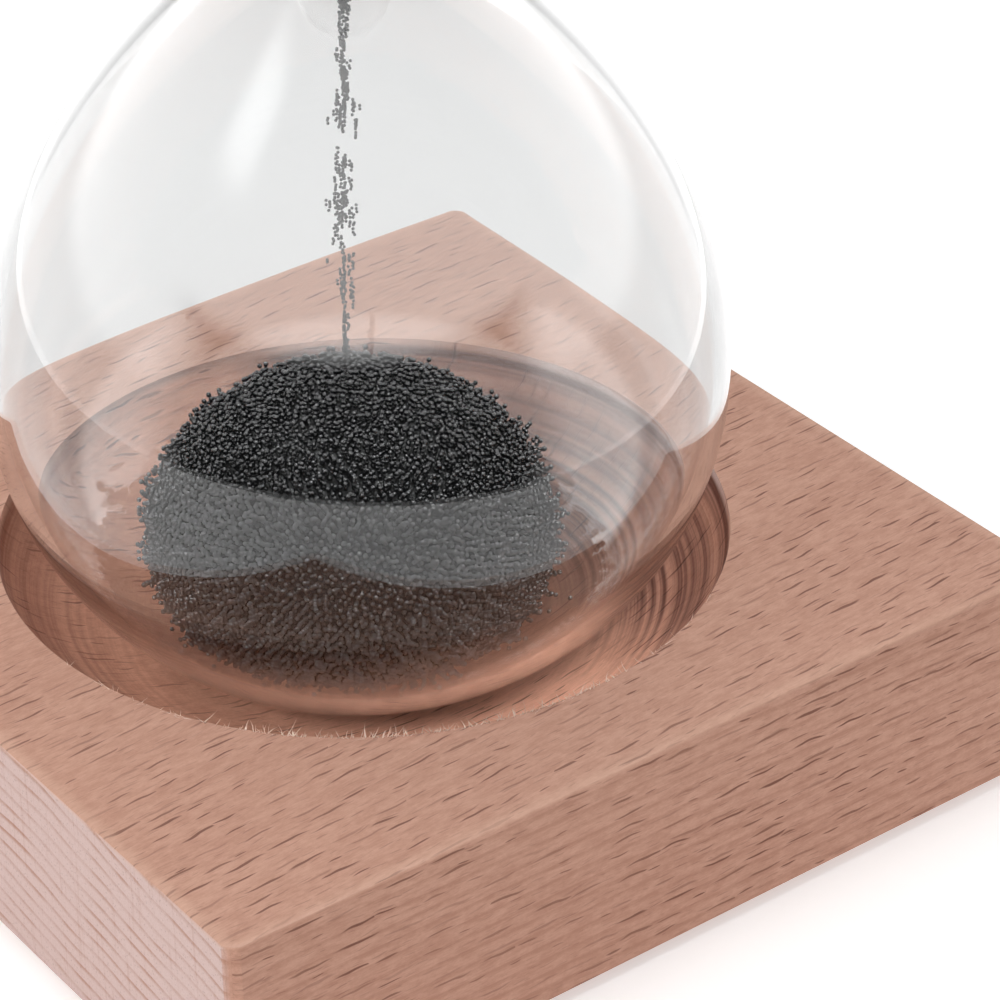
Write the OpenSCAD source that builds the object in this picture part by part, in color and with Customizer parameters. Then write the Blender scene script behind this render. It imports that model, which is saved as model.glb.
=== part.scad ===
// Magnetic hourglass: a sealed glass timer filled with iron beads, standing
// in the dished top of a square beech block that hides a disc magnet.
// Origin: centre of the underside, on the table. +Z is up, millimetres.

/* [Wood base] */
// Side of the square beech block
base_w = 84; // [80:1:90]
// Thickness of the beech block
base_t = 20; // [19.5:0.5:24]
// Chamfer on the four upright corners
corner_c = 1.5; // [0.5:0.5:3]
// Radius of the dish at its rim
dish_r = 31.8; // [31.5:0.1:34]
// Thickness of the felt sheet under the block
felt_t = 1; // [0.8:0.1:1.5]
// Side of the felt sheet
felt_w = 76; // [70:1:78]

/* [Magnet] */
// Diameter of the disc magnet
magnet_d = 25; // [20:1:26]
// Thickness of the disc magnet
magnet_t = 3; // [2.5:0.1:3.2]

/* [Glass] */
// Largest outer radius of each bulb
bulb_r = 31.5; // [30:0.1:31.5]
// Wall thickness of the blown glass
glass_wall = 1.3; // [1.1:0.1:1.4]
// Outer radius of the neck
neck_r = 2.7; // [2.7:0.1:3.2]

/* [Iron] */
// Widest radius of the heap, without its spikes
heap_r = 17.4; // [16.6:0.1:17.8]
// Height of the heap above its widest level
heap_h = 13.6; // [10:0.1:14.2]
// How far off the axis the heap stands
heap_off = 1.2; // [0:0.1:1.4]
// Length of the spikes that stand out of the heap
spike_h = 1.6; // [0.8:0.1:2]
// Radius of one loose grain
grain_r = 0.3; // [0.25:0.01:0.32]

/* [Hidden] */
$fn = 96;

beech = [0.80, 0.64, 0.56];
plug_wood = [0.74, 0.57, 0.47];
felt_black = [0.10, 0.10, 0.11];
nickel = [0.72, 0.72, 0.74];
clear_glass = [0.86, 0.92, 0.92, 0.35];
iron = [0.08, 0.08, 0.09];

base_top = felt_t + base_t;

// dish: a bowl, steep at the rim and nearly flat in the middle
dish_depth = 13.3;
dish_steps = 26;
function dish_z(r) = base_top - dish_depth * pow(max(0, 1 - pow(r / dish_r, 2)), 0.6);

// magnet pocket, bored from below, closed with a wooden plug
pocket_d = magnet_d + 1;
plug_t = 2;
pocket_top = felt_t + plug_t + 0.1 + magnet_t + 0.1;

// glass: lower half of a bulb is an ellipse, the upper half tapers to the neck
sit_gap = 0.3;
bulb_c = 29.2;
taper_h = 45.6;
taper_p = 0.968;
glass_low = base_top - dish_depth + sit_gap;
bulb_z = glass_low + bulb_c;
neck_z = bulb_z + taper_h;
low_steps = 20;
up_steps = 28;

function taper(t) = bulb_r * pow(max(0, 1 - t * t), taper_p);
function low_pt(a) = [bulb_r * sin(a), bulb_z - bulb_c * cos(a)];
function up_pt(t) = [sqrt(pow(taper(t), 2) + pow(neck_r * t * t, 2)), bulb_z + taper_h * t];
function wall_pt(s) = s < 0 ? low_pt(90 * (1 + s)) : up_pt(s);
function unit(v) = v / norm(v);
// a point moved inward from the outer wall, square to it
function inner_pt(s, w) =
    let (p = wall_pt(s), d = unit(wall_pt(min(1, s + 0.004)) - wall_pt(max(-1, s - 0.004))))
    s <= -1 ? [0, glass_low + w]
    : s >= 1 ? [neck_r - w, neck_z]
    : [max(0, p[0] - w * d[1]), p[1] + w * d[0]];
steps_s = concat([for (i = [0 : low_steps - 1]) i / low_steps - 1],
                 [for (i = [0 : up_steps]) i / up_steps]);
function half_line(w) = [for (s = steps_s) inner_pt(s, w)];
function mirrored(line) =
    [for (i = [len(line) - 2 : -1 : 0]) [line[i][0], 2 * neck_z - line[i][1]]];
function whole_line(w) = let (l = half_line(w)) concat(l, mirrored(l));

// height of the inner glass surface at a radius, in the low half of the bulb
inner_a = bulb_r - glass_wall;
inner_c = bulb_c - glass_wall;
function floor_z(r) = bulb_z - inner_c * sqrt(1 - pow(r / inner_a, 2));

// heap: foot follows the glass, then bulges out, then a dome
foot_r = 16.2;
wide_z = base_top - 0.4;
lift = 0.2;
heap_turn = 146;
function foot_z(r) = floor_z(r + heap_off) + lift;
function heap_line() = concat(
    [for (i = [0 : 8]) let (r = foot_r * i / 8) [r, foot_z(r)]],
    [for (i = [1 : 6]) let (a = 15 * i)
        [foot_r + (heap_r - foot_r) * sin(a),
         wide_z - (wide_z - foot_z(foot_r)) * cos(a)]],
    [for (i = [1 : 12]) let (a = 7.5 * i)
        [heap_r * cos(a), wide_z + heap_h * sin(a)]]);

module wood_base() {
    half = base_w / 2;
    cut = half - corner_c;
    color(beech)
    difference() {
        translate([0, 0, felt_t])
            linear_extrude(base_t)
                polygon([[cut, -half], [half, -cut], [half, cut], [cut, half],
                         [-cut, half], [-half, cut], [-half, -cut], [-cut, -half]]);
        rotate_extrude()
            polygon(concat(
                [for (i = [0 : dish_steps]) let (r = dish_r * sin(90 * i / dish_steps))
                    [r, dish_z(r)]],
                [[dish_r, base_top + 1], [0, base_top + 1]]));
        translate([0, 0, felt_t - 1])
            cylinder(d = pocket_d, h = pocket_top - felt_t + 1);
    }
}

module felt_sheet() {
    color(felt_black)
    translate([-felt_w / 2, -felt_w / 2, 0])
        cube([felt_w, felt_w, felt_t]);
}

module magnet() {
    color(nickel)
    translate([0, 0, felt_t + plug_t + 0.1])
        cylinder(d = magnet_d, h = magnet_t);
}

module pocket_plug() {
    color(plug_wood)
    translate([0, 0, felt_t])
        cylinder(d = pocket_d - 0.1, h = plug_t);
}

module glass_vessel() {
    color(clear_glass)
    rotate_extrude()
        difference() {
            polygon(whole_line(0));
            polygon(whole_line(glass_wall));
        }
}

// one ring of spikes round the heap, at an elevation on its dome
module spike_ring(up, count, turn) {
    r = heap_r * cos(up) - 0.3 * cos(up);
    z = wide_z + heap_h * sin(up) - 0.3 * sin(up);
    for (i = [0 : count - 1])
        rotate([0, 0, turn + i * 360 / count])
            translate([r, 0, z])
                rotate([0, 90 - up, 0])
                    cylinder(r1 = 0.5, r2 = 0.2, h = spike_h + 0.3);
}

module iron_heap() {
    color(iron)
    rotate([0, 0, heap_turn])
    translate([heap_off, 0, 0])
    union() {
        rotate_extrude()
            polygon(concat(heap_line(), [[0, wide_z + heap_h]]));
        spike_ring(8, 20, 0);
        spike_ring(30, 18, 7);
        spike_ring(52, 12, 3);
        spike_ring(74, 6, 11);
    }
}

// grains falling from the neck: spread out high up, in a thin line low down
module falling_grains() {
    top = neck_z - 4;
    low = wide_z + heap_h + spike_h + 0.8;
    count = 30;
    color(iron)
    for (i = [0 : count - 1]) {
        f = i / (count - 1);
        z = low + (top - low) * f;
        side = (0.2 + 0.8 * sin(150 * f)) * cos(137.5 * i);
        depth = (0.2 + 0.8 * sin(150 * f)) * sin(137.5 * i);
        translate([side * (1 - 0.6 * f), depth * (1 - 0.6 * f), z])
            sphere(r = grain_r);
    }
}

// grains still waiting in the upper bulb: a funnel heap with a small crater
module waiting_grains() {
    low = 0.93;
    high = 0.74;
    parts = 10;
    rim = inner_pt(high, glass_wall + 0.2);
    top_z = 2 * neck_z - rim[1];
    foot = inner_pt(low, glass_wall + 0.2);
    color(iron)
    rotate_extrude()
        polygon(concat(
            [[0, 2 * neck_z - foot[1]]],
            [for (i = [0 : parts])
                let (p = inner_pt(low + (high - low) * i / parts, glass_wall + 0.2))
                    [p[0], 2 * neck_z - p[1]]],
            [[rim[0] * 0.6, top_z - 0.8], [rim[0] * 0.2, top_z - 2.6], [0, top_z - 3]]));
}

// the few grains that are passing the orifice
module neck_grains() {
    color(iron)
    union() {
        translate([0, 0, neck_z]) sphere(r = grain_r);
        for (i = [0 : 2])
            rotate([0, 0, 120 * i])
                translate([0.5, 0, neck_z + 0.2])
                    sphere(r = grain_r);
        for (i = [0 : 2])
            rotate([0, 0, 60 + 120 * i])
                translate([0.5, 0, neck_z - 0.2])
                    sphere(r = grain_r);
    }
}

// loose grains lying on the glass round the foot of the heap
module stray_grains() {
    count = 10;
    color(iron)
    for (i = [0 : count - 1]) {
        r = 21 + 1.6 * sin(97 * i);
        rotate([0, 0, 137.5 * i + 20])
            translate([r, 0, floor_z(r) + grain_r * 1.6])
                sphere(r = grain_r);
    }
}

wood_base();
felt_sheet();
magnet();
pocket_plug();
glass_vessel();
iron_heap();
falling_grains();
waiting_grains();
neck_grains();
stray_grains();
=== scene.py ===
import math

import bpy
import numpy as np
from mathutils import Matrix, Vector


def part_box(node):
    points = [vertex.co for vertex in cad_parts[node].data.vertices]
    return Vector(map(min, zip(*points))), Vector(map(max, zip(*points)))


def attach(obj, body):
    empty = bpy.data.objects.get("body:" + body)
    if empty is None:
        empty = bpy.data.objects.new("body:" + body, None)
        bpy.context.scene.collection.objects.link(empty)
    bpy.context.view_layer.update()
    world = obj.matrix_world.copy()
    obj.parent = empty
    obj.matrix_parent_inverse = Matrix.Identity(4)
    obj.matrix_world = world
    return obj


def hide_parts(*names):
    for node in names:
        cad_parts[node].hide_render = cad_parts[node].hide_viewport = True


bl_info = {
    "name": "Magnetic hourglass",
    "version": (1, 0, 0),
    "blender": (4, 5, 0),
    "location": "3D View > Sidebar > Hourglass",
    "description": "Glass hourglass with iron beads on a dished beech block",
    "category": "Add Mesh",
}

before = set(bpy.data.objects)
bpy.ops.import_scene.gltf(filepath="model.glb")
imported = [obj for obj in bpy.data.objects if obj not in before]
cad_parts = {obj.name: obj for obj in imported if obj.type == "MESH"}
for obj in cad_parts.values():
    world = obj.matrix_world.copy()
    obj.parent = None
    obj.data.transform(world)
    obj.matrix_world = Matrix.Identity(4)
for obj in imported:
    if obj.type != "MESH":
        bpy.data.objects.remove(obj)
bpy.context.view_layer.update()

MM = 0.001
WOOD_LOW, WOOD_HIGH = (Vector(v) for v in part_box("wood_base"))
FELT_LOW, FELT_HIGH = (Vector(v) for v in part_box("felt_sheet"))
GLASS_LOW, GLASS_HIGH = (Vector(v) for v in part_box("glass_vessel"))
PLUG_LOW, PLUG_HIGH = (Vector(v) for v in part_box("pocket_plug"))
MAGNET_LOW, MAGNET_HIGH = (Vector(v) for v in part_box("magnet"))

BASE_TOP = WOOD_HIGH.z
NECK_Z = (GLASS_LOW.z + GLASS_HIGH.z) / 2
BULB_R = GLASS_HIGH.x
# share of half the glass's length that is the rounded low part of a bulb
BULB_LOW_SHARE = 29.2 / 74.8
BULB_LOW = (NECK_Z - GLASS_LOW.z) * BULB_LOW_SHARE
TAPER_H = (NECK_Z - GLASS_LOW.z) - BULB_LOW
BULB_Z = GLASS_LOW.z + BULB_LOW
TAPER_POWER = 0.968
DISH_POWER = 0.6
GOLDEN_ANGLE = math.pi * (3 - math.sqrt(5))
PIECE_TRIANGLES = 196000
STREAM_CLUMPS = 190
THREAD_BEADS = 52
STRAY_COUNT = 46
FIBRE_COUNT = 300
# middle and spread, in degrees, of the part of the rim where fibres stand up
FIBRE_ARC = (-118, 22)


# ---------------------------------------------------------------- settings

class BlockSettings(bpy.types.PropertyGroup):
    corner: bpy.props.FloatProperty(
        name="Upright chamfer", description="Chamfer on the four upright corners",
        default=1.5 * MM, unit="LENGTH")
    arris: bpy.props.FloatProperty(
        name="Arris", description="Rounding of the top and bottom edges",
        default=0.4 * MM, unit="LENGTH")
    dish_radius: bpy.props.FloatProperty(
        name="Dish radius", description="Radius of the dish at its rim",
        default=31.8 * MM, unit="LENGTH")
    dish_depth: bpy.props.FloatProperty(
        name="Dish depth", description="Depth of the dish at its middle",
        default=13.3 * MM, unit="LENGTH")
    light_wood: bpy.props.FloatVectorProperty(
        name="Light wood", description="Colour of the pale early wood",
        default=(0.63, 0.362, 0.268), size=3, subtype="COLOR")
    dark_wood: bpy.props.FloatVectorProperty(
        name="Dark wood", description="Colour of the darker late wood",
        default=(0.46, 0.235, 0.165), size=3, subtype="COLOR")
    fleck: bpy.props.FloatVectorProperty(
        name="Flecks", description="Colour of the short ray flecks",
        default=(0.22, 0.095, 0.065), size=3, subtype="COLOR")
    end_wood: bpy.props.FloatVectorProperty(
        name="End grain", description="Colour of the sawn end grain",
        default=(0.68, 0.51, 0.475), size=3, subtype="COLOR")


class GlassSettings(bpy.types.PropertyGroup):
    wall: bpy.props.FloatProperty(
        name="Wall", description="Thickness of the blown glass",
        default=1.3 * MM, unit="LENGTH")
    neck: bpy.props.FloatProperty(
        name="Neck radius", description="Outer radius of the neck",
        default=2.7 * MM, unit="LENGTH")
    tint: bpy.props.FloatVectorProperty(
        name="Tint", description="Colour that the glass passes",
        default=(0.97, 0.975, 0.975), size=3, subtype="COLOR")


class BeadSettings(bpy.types.PropertyGroup):
    diameter: bpy.props.FloatProperty(
        name="Bead", description="Diameter of one iron bead",
        default=0.47 * MM, unit="LENGTH")
    spacing: bpy.props.FloatProperty(
        name="Chain spacing", description="Distance between neighbouring chains of beads",
        default=0.60 * MM, unit="LENGTH")
    colour: bpy.props.FloatVectorProperty(
        name="Iron", description="Colour of the beads",
        default=(0.006, 0.006, 0.007), size=3, subtype="COLOR")
    seed: bpy.props.IntProperty(
        name="Seed", description="Start of the random draws", default=7)


class StageSettings(bpy.types.PropertyGroup):
    distance: bpy.props.FloatProperty(
        name="Camera distance", description="From the middle of the block's top to the camera",
        default=339.2 * MM, unit="LENGTH")
    azimuth: bpy.props.FloatProperty(
        name="Camera azimuth", description="Turn of the camera round the object",
        default=math.radians(-34.135), subtype="ANGLE")
    elevation: bpy.props.FloatProperty(
        name="Camera elevation", description="Height angle of the camera",
        default=math.radians(32.786), subtype="ANGLE")
    roll: bpy.props.FloatProperty(
        name="Camera roll", description="Turn of the camera round its line of sight",
        default=math.radians(-0.778), subtype="ANGLE")
    aim_right: bpy.props.FloatProperty(
        name="Aim right", description="How far right of the block's middle the camera aims",
        default=0.03505)
    aim_up: bpy.props.FloatProperty(
        name="Aim up", description="How far above the block's middle the camera aims",
        default=0.004386)
    lens: bpy.props.FloatProperty(
        name="Lens", description="Focal length in millimetres on a 36 mm sensor", default=140.4)
    floor_radius: bpy.props.FloatProperty(
        name="Floor radius", description="Radius of the pale table top",
        default=0.203, unit="LENGTH")
    floor_middle: bpy.props.FloatVectorProperty(
        name="Floor middle", description="Where the middle of the table top is",
        default=(-0.042, 0.034), size=2, unit="LENGTH")


# ---------------------------------------------------------------- mesh tools

def deselect():
    if bpy.context.object and bpy.context.object.mode != "OBJECT":
        bpy.ops.object.mode_set(mode="OBJECT")
    bpy.ops.object.select_all(action="DESELECT")


def only(obj):
    deselect()
    obj.select_set(True)
    bpy.context.view_layer.objects.active = obj


def edit(obj, kind="EDGE"):
    only(obj)
    bpy.ops.object.mode_set(mode="EDIT")
    bpy.ops.mesh.select_mode(type=kind)
    bpy.ops.mesh.select_all(action="DESELECT")


def leave_edit():
    bpy.ops.object.mode_set(mode="OBJECT")


def pick_edges(obj, test):
    """Selects the edges whose two ends pass the test. Called in edit mode, it stays there."""
    bpy.ops.object.mode_set(mode="OBJECT")
    mesh = obj.data
    for e in mesh.edges:
        a, b = (mesh.vertices[i].co for i in e.vertices)
        e.select = bool(test(a, b))
    for v in mesh.vertices:
        v.select = False
    for f in mesh.polygons:
        f.select = False
    bpy.ops.object.mode_set(mode="EDIT")


def apply_modifiers(obj):
    only(obj)
    for m in list(obj.modifiers):
        bpy.ops.object.modifier_apply(modifier=m.name)


def settle(obj):
    """Puts the object's place, turn and size into its mesh."""
    only(obj)
    bpy.ops.object.transform_apply(location=True, rotation=True, scale=True)


def added(name):
    obj = bpy.context.object
    obj.name = name
    obj.data.name = name
    return obj


def block(name, low, high):
    deselect()
    bpy.ops.mesh.primitive_cube_add(size=1, location=(low + high) / 2, scale=high - low)
    obj = added(name)
    settle(obj)
    return obj


def lathe(name, points, steps):
    """A closed turned shape: a line drawn point by point is spun round the Z axis."""
    deselect()
    bpy.ops.mesh.primitive_plane_add(size=MM, location=(0, 0, 0))
    obj = added(name)
    bpy.ops.object.mode_set(mode="EDIT")
    bpy.ops.mesh.select_mode(type="VERT")
    bpy.ops.mesh.select_all(action="SELECT")
    bpy.ops.mesh.merge(type="CENTER")
    first = Vector((points[0][0], 0, points[0][1]))
    bpy.ops.transform.translate(value=first)
    last = first
    for r, z in points[1:]:
        here = Vector((r, 0, z))
        bpy.ops.mesh.extrude_vertices_move(TRANSFORM_OT_translate={"value": here - last})
        last = here
    bpy.ops.mesh.select_all(action="SELECT")
    bpy.ops.mesh.spin(steps=steps, angle=2 * math.pi, center=(0, 0, 0), axis=(0, 0, 1))
    bpy.ops.mesh.select_all(action="SELECT")
    bpy.ops.mesh.remove_doubles(threshold=0.004 * MM)
    bpy.ops.mesh.normals_make_consistent(inside=False)
    leave_edit()
    settle(obj)
    return obj


def carve(obj, cutter):
    m = obj.modifiers.new("carve", "BOOLEAN")
    m.operation = "DIFFERENCE"
    m.solver = "EXACT"
    m.object = cutter
    apply_modifiers(obj)
    bpy.data.objects.remove(cutter)


def hand_over(obj, body, slot, *nodes):
    """Says what the piece rides on and the CAD nodes it stands for. Its slot is not used."""
    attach(obj, body)
    if nodes:
        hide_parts(*nodes)


def give(obj, material):
    obj.data.materials.clear()
    obj.data.materials.append(material)


# ---------------------------------------------------------------- outlines

def dish_z(r, s):
    return BASE_TOP - s.dish_depth * max(0.0, 1 - (r / s.dish_radius) ** 2) ** DISH_POWER


def wall_point(s, neck):
    """Outer glass outline from the pole (-1) by the widest level (0) to the neck (1)."""
    if s < 0:
        a = math.pi / 2 * (1 + s)
        return BULB_R * math.sin(a), BULB_Z - BULB_LOW * math.cos(a)
    taper = BULB_R * max(0.0, 1 - s * s) ** TAPER_POWER
    return math.hypot(taper, neck * s * s), BULB_Z + TAPER_H * s


def inner_floor(r, wall):
    """Height of the inner glass surface in the low half of the lower bulb."""
    return BULB_Z - (BULB_LOW - wall) * np.sqrt(1 - (r / (BULB_R - wall)) ** 2)


def glass_outline(neck, low_steps, up_steps):
    half = [wall_point(i / low_steps - 1, neck) for i in range(low_steps)]
    half += [wall_point(i / up_steps, neck) for i in range(up_steps + 1)]
    return half + [(r, 2 * NECK_Z - z) for r, z in reversed(half[:-1])]


# ---------------------------------------------------------------- node tools

class Net:
    """A node tree with short calls for adding and joining nodes."""

    def __init__(self, tree):
        self.tree = tree
        tree.nodes.clear()

    def feed(self, socket, value):
        if isinstance(value, bpy.types.NodeSocket):
            self.tree.links.new(value, socket)
        else:
            socket.default_value = value

    def add(self, kind, inputs=None, **settings):
        node = self.tree.nodes.new(kind)
        for key, value in settings.items():
            setattr(node, key, value)
        for key, value in (inputs or {}).items():
            self.feed(node.inputs[key], value)
        return node

    def math(self, operation, a, b=0.0, clamp=False):
        node = self.add("ShaderNodeMath", {0: a, 1: b}, operation=operation)
        node.use_clamp = clamp
        return node.outputs[0]

    def vec(self, operation, a, b=(0.0, 0.0, 0.0)):
        return self.add("ShaderNodeVectorMath", {0: a, 1: b}, operation=operation).outputs[0]

    def length(self, a):
        node = self.add("ShaderNodeVectorMath", {0: a}, operation="LENGTH")
        return node.outputs["Value"]

    def dot(self, a, b):
        return self.add("ShaderNodeVectorMath", {0: a, 1: b}, operation="DOT_PRODUCT").outputs["Value"]

    def split(self, vector):
        return self.add("ShaderNodeSeparateXYZ", {0: vector}).outputs

    def join(self, x=0.0, y=0.0, z=0.0):
        return self.add("ShaderNodeCombineXYZ", {0: x, 1: y, 2: z}).outputs[0]

    def ramp(self, value, low, high, to_low=0.0, to_high=1.0):
        node = self.add("ShaderNodeMapRange", {0: value, 1: low, 2: high, 3: to_low, 4: to_high},
                        interpolation_type="SMOOTHSTEP")
        return node.outputs[0]

    def blend(self, factor, a, b, kind="MIX"):
        node = self.add("ShaderNodeMix", {0: factor, 6: a, 7: b}, data_type="RGBA", blend_type=kind)
        return node.outputs[2]

    def noise(self, vector, scale=1.0, detail=2.0, rough=0.5):
        node = self.add("ShaderNodeTexNoise",
                        {"Vector": vector, "Scale": scale, "Detail": detail, "Roughness": rough})
        return node.outputs[0]


def group(name, inputs, outputs):
    """A new shader node group with named sockets, given as (name, kind, default)."""
    tree = bpy.data.node_groups.new(name, "ShaderNodeTree")
    for label, kind, value in inputs:
        socket = tree.interface.new_socket(label, in_out="INPUT", socket_type="NodeSocket" + kind)
        if value is not None:
            socket.default_value = value
    for label, kind in outputs:
        tree.interface.new_socket(label, in_out="OUTPUT", socket_type="NodeSocket" + kind)
    net = Net(tree)
    return tree, net, net.add("NodeGroupInput").outputs, net.add("NodeGroupOutput").inputs


def place_group(net, tree, inputs):
    node = net.add("ShaderNodeGroup", node_tree=tree)
    for key, value in inputs.items():
        net.feed(node.inputs[key], value)
    return node.outputs


def material(name):
    mat = bpy.data.materials.new(name)
    mat.use_nodes = True
    net = Net(mat.node_tree)
    shader = net.add("ShaderNodeBsdfPrincipled")
    out = net.add("ShaderNodeOutputMaterial")
    net.tree.links.new(shader.outputs[0], out.inputs[0])
    return mat, net, shader, out


def rgba(colour):
    return (*colour[:3], 1.0)


def millimetres(net):
    """Object coordinates in millimetres, and the surface's own facing."""
    coords = net.add("ShaderNodeTexCoord")
    return net.vec("MULTIPLY", coords.outputs["Object"], (1000.0,) * 3), coords.outputs["Normal"]


def fleck_group():
    """Short dark spindles in a plane: X runs along the grain, Y across it."""
    tree, net, g, out = group(
        "ray_flecks",
        [("Along", "Float", 0.0), ("Across", "Float", 0.0), ("Cell Length", "Float", 6.0),
         ("Cell Width", "Float", 1.5), ("Half Length", "Float", 1.8), ("Half Width", "Float", 0.13)],
        [("Mask", "Float")])
    cell = net.join(net.math("DIVIDE", g["Along"], g["Cell Length"]),
                    net.math("DIVIDE", g["Across"], g["Cell Width"]))
    cells = net.add("ShaderNodeTexVoronoi", {"Vector": cell, "Scale": 1.0, "Randomness": 1.0},
                    voronoi_dimensions="2D")
    off = net.split(net.vec("SUBTRACT", cell, cells.outputs["Position"]))
    draw = net.split(cells.outputs["Color"])
    size = net.ramp(draw[0], 0.0, 1.0, 0.35, 1.25)
    long = net.math("DIVIDE", net.math("MULTIPLY", off[0], g["Cell Length"]),
                    net.math("MULTIPLY", g["Half Length"], size))
    wide = net.math("DIVIDE", net.math("MULTIPLY", off[1], g["Cell Width"]),
                    net.math("MULTIPLY", g["Half Width"], net.math("POWER", size, 0.4)))
    far = net.math("SQRT", net.math("ADD", net.math("POWER", long, 2.0),
                                    net.math("POWER", wide, 2.0)))
    shape = net.ramp(far, 0.55, 1.05, 1.0, 0.0)
    strength = net.ramp(draw[1], 0.0, 0.8, 0.35, 1.0)
    net.feed(out["Mask"], net.math("MULTIPLY", shape, strength))
    return tree


def beech_group(flecks):
    """Beech that is sawn flat: grain along X, flecks on the long faces, rings on the ends."""
    tree, net, g, out = group(
        "beech",
        [("Position", "Vector", None), ("Facing", "Vector", None),
         ("Light Wood", "Color", (0.66, 0.44, 0.33, 1)), ("Dark Wood", "Color", (0.5, 0.29, 0.2, 1)),
         ("Fleck", "Color", (0.16, 0.07, 0.04, 1)), ("End Wood", "Color", (0.7, 0.5, 0.44, 1)),
         ("Ring Spacing", "Float", 1.45), ("Fleck Strength", "Float", 1.0)],
        [("Colour", "Color"), ("Roughness", "Float"), ("Height", "Float")])
    turned = net.add("ShaderNodeVectorRotate",
                     {"Vector": g["Position"], "Axis": (0, 0, 1), "Angle": math.radians(-3.5)})
    place = turned.outputs[0]
    drift = net.noise(net.vec("MULTIPLY", place, (0.012, 0.05, 0.05)), 1.0, 2.0)
    sway = net.math("MULTIPLY", net.math("SUBTRACT", drift, 0.5), 3.0)
    x, y, z = net.split(place)[:3]
    facing = net.split(g["Facing"])
    end_face = net.ramp(net.math("ABSOLUTE", facing[0]), 0.75, 0.95)
    side_face = net.ramp(net.math("ABSOLUTE", facing[1]), 0.69, 0.72)

    # growth rings round a pith that runs along X, far below the block
    ring_y = net.math("ADD", y, -18.0)
    ring_z = net.math("ADD", net.math("ADD", z, 290.0), sway)
    radius = net.math("SQRT", net.math("ADD", net.math("POWER", ring_y, 2.0),
                                       net.math("POWER", ring_z, 2.0)))
    ring = net.math("FRACT", net.math("DIVIDE", radius, g["Ring Spacing"]))
    late = net.math("MULTIPLY", net.ramp(ring, 0.55, 0.90), net.ramp(ring, 0.93, 1.0, 1.0, 0.0))

    # fine straight fibres and broad soft bands
    fibre = net.noise(net.vec("MULTIPLY", place, (0.10, 4.2, 4.2)), 1.0, 3.0, 0.6)
    hair = net.noise(net.vec("MULTIPLY", place, (0.9, 7.0, 7.0)), 1.0, 3.0, 0.75)
    mottle = net.noise(net.vec("MULTIPLY", place, (0.45, 1.1, 1.1)), 1.0, 4.0, 0.7)
    band = net.noise(net.vec("MULTIPLY", place, (0.010, 0.16, 0.16)), 1.0, 3.0, 0.55)
    cloud = net.noise(net.vec("MULTIPLY", place, (0.03, 0.04, 0.04)), 1.0, 2.0, 0.5)

    dust = net.noise(net.vec("MULTIPLY", place, (3.0, 6.5, 6.5)), 1.0, 2.0, 0.7)
    tone = net.math("MULTIPLY", net.ramp(fibre, 0.34, 0.66), 0.16)
    tone = net.math("ADD", tone, net.math("MULTIPLY", net.ramp(hair, 0.38, 0.62), 0.20))
    tone = net.math("ADD", tone, net.math("MULTIPLY", net.ramp(mottle, 0.36, 0.64), 0.36))
    tone = net.math("ADD", tone, net.math("MULTIPLY", net.ramp(band, 0.3, 0.7), 0.20))
    tone = net.math("ADD", tone, net.math("MULTIPLY", net.ramp(dust, 0.38, 0.66), 0.14))
    ring_share = net.ramp(net.math("ADD", end_face, net.math("MULTIPLY", side_face, 0.7)),
                          0.0, 1.0, 0.10, 0.42)
    tone = net.math("ADD", tone, net.math("MULTIPLY", late, ring_share), clamp=True)
    long_wood = net.blend(tone, g["Light Wood"], g["Dark Wood"])
    crack = net.noise(net.vec("MULTIPLY", place, (0.1, 2.6, 0.12)), 1.0, 2.0, 0.6)
    line = net.math("MULTIPLY", late, net.ramp(band, 0.36, 0.62, 0.25, 0.85))
    end_tone = net.math("ADD", line, net.math("MULTIPLY", net.ramp(dust, 0.35, 0.75), 0.22))
    end_tone = net.math("ADD", end_tone, net.math("MULTIPLY", net.ramp(crack, 0.55, 0.72), 0.20),
                        clamp=True)
    end_wood = net.blend(end_tone, g["End Wood"], g["Dark Wood"])

    # flecks: coarse and fine ones on each long face, pores on the end grain
    across = net.math("ADD", net.math("MULTIPLY", y, net.math("SUBTRACT", 1.0, side_face)),
                      net.math("MULTIPLY", net.math("ADD", z, 37.0), side_face))
    across = net.math("ADD", across, net.math("MULTIPLY", sway, 0.25))
    wander = net.noise(net.vec("MULTIPLY", place, (0.35, 0.6, 0.6)), 1.0, 1.0, 0.5)
    across = net.math("ADD", across, net.math("MULTIPLY", wander, 0.7))
    coarse = place_group(net, flecks, {
        "Along": x, "Across": across, "Cell Length": 4.6, "Cell Width": 1.35,
        "Half Length": 1.9, "Half Width": 0.135})["Mask"]
    fine = place_group(net, flecks, {
        "Along": net.math("ADD", x, 17.3), "Across": net.math("ADD", across, 5.1),
        "Cell Length": 2.4, "Cell Width": 0.7, "Half Length": 0.85, "Half Width": 0.065})["Mask"]
    specks = net.add("ShaderNodeTexVoronoi", {"Vector": place, "Scale": 2.6, "Randomness": 1.0})
    pores = net.ramp(specks.outputs["Distance"], 0.10, 0.28, 1.0, 0.0)
    on_long = net.math("SUBTRACT", 1.0, end_face)
    marks = net.math("MULTIPLY", net.math("MAXIMUM", coarse, net.math("MULTIPLY", fine, 0.4)), on_long)
    patches = net.ramp(cloud, 0.25, 0.6, 0.6, 1.0)
    marks = net.math("MULTIPLY", net.math("MULTIPLY", marks, patches), g["Fleck Strength"])
    pores = net.math("MULTIPLY", net.math("MULTIPLY", pores, end_face), 0.28)

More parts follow.
